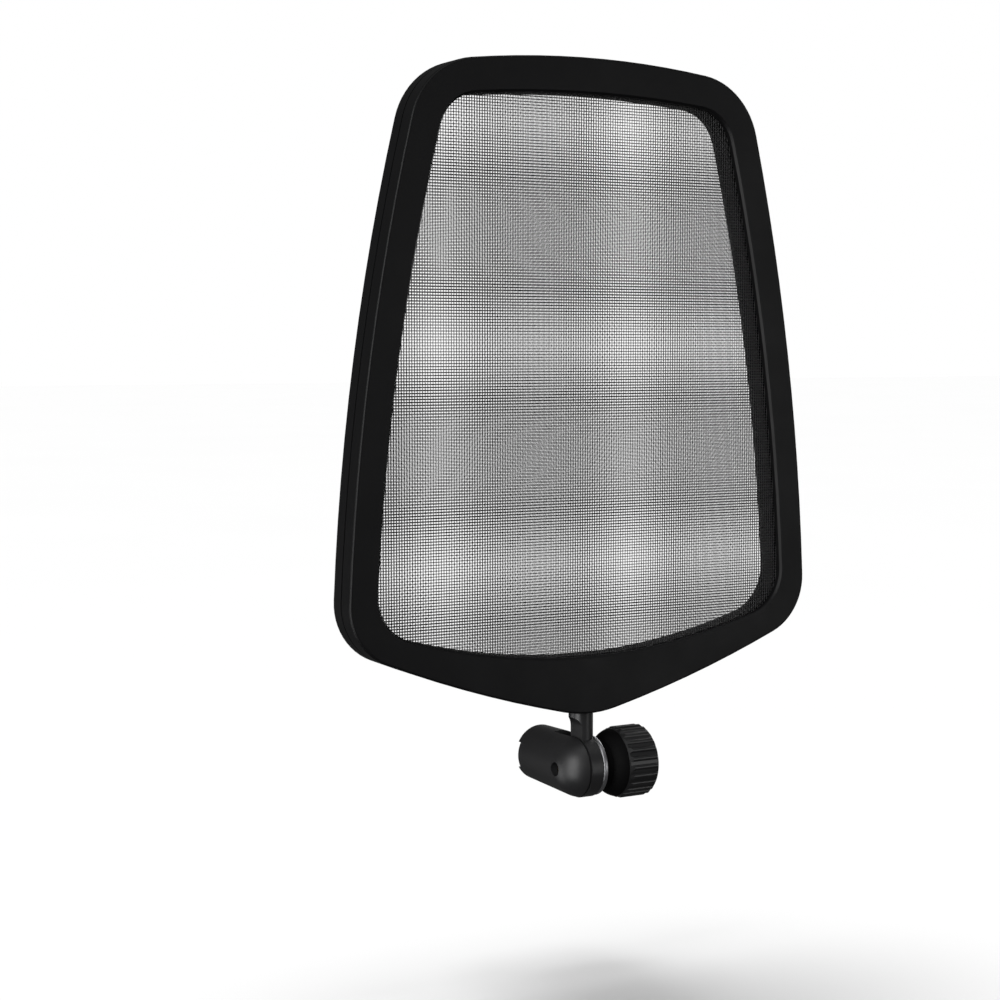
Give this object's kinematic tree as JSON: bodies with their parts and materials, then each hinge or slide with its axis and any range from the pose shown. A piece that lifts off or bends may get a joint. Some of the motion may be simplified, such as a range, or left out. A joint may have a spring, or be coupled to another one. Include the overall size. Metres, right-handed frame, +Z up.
{
  "type": "pop filter",
  "caption": "Shield-shaped pop filter with two woven wire screens in a two-shell frame, on a stem that a hand knob clamps to a mounting barrel.",
  "frame": {"origin": "mouth of the threaded hole in the barrel's rear end, on the hole's axis", "axes": "+Z up along the head's height, -Y the way the filter faces, +X to the right as the front is faced"},
  "size_m": [0.1124, 0.025, 0.1571],
  "materials": {
    "frame_plastic": "fine matte moulded",
    "spacer_plastic": "matte moulded",
    "screen_wire": "black coated woven wire",
    "rim_metal": "black coated, crimped",
    "black_screw": "black oxide",
    "stem_metal": "satin black coat",
    "barrel_metal": "satin black coat",
    "insert_brass": "turned",
    "washer_nylon": "matte nylon",
    "washer_steel": "dark nickel, turned",
    "spring_steel": "spring temper",
    "knob_plastic": "moulded, fluted",
    "stud_steel": "black zinc"
  },
  "bodies": {
    "arm": {"barrel": "barrel_metal", "ring_insert": "insert_brass", "stud_nut": "insert_brass", "friction_washer": "washer_nylon"},
    "head": {"front_frame": "frame_plastic", "rear_frame": "frame_plastic", "spacer_frame": "spacer_plastic", "front_screen": "screen_wire", "rear_screen": "screen_wire", "front_screen_rim": "rim_metal", "rear_screen_rim": "rim_metal", "frame_screws": "black_screw", "stem_screws": "black_screw", "stem": "stem_metal"},
    "washer": {"clamp_washer": "washer_steel"},
    "knob": {"knob": "knob_plastic", "knob_stud": "stud_steel", "knob_cap": "knob_plastic", "stud_clip": "spring_steel", "disc_spring": "spring_steel"}
  },
  "joints": [
    {"name": "head_tilt", "type": "hinge", "parent": "arm", "child": "head", "pos_m": [0, -0.0163, 0], "axis": [1, 0, 0], "range_deg": [-25, 100]},
    {"name": "washer_slide", "type": "slide", "parent": "arm", "child": "washer", "axis": [1, 0, 0], "range_m": [0, 0.0014]},
    {"name": "knob_turn", "type": "hinge", "parent": "washer", "child": "knob", "pos_m": [0, -0.0163, 0], "axis": [1, 0, 0], "range_deg": [0, 720]}
  ],
  "couplings": [
    {"joint": "knob_turn", "follows": "washer_slide", "rad_per_m": 8976}
  ]
}
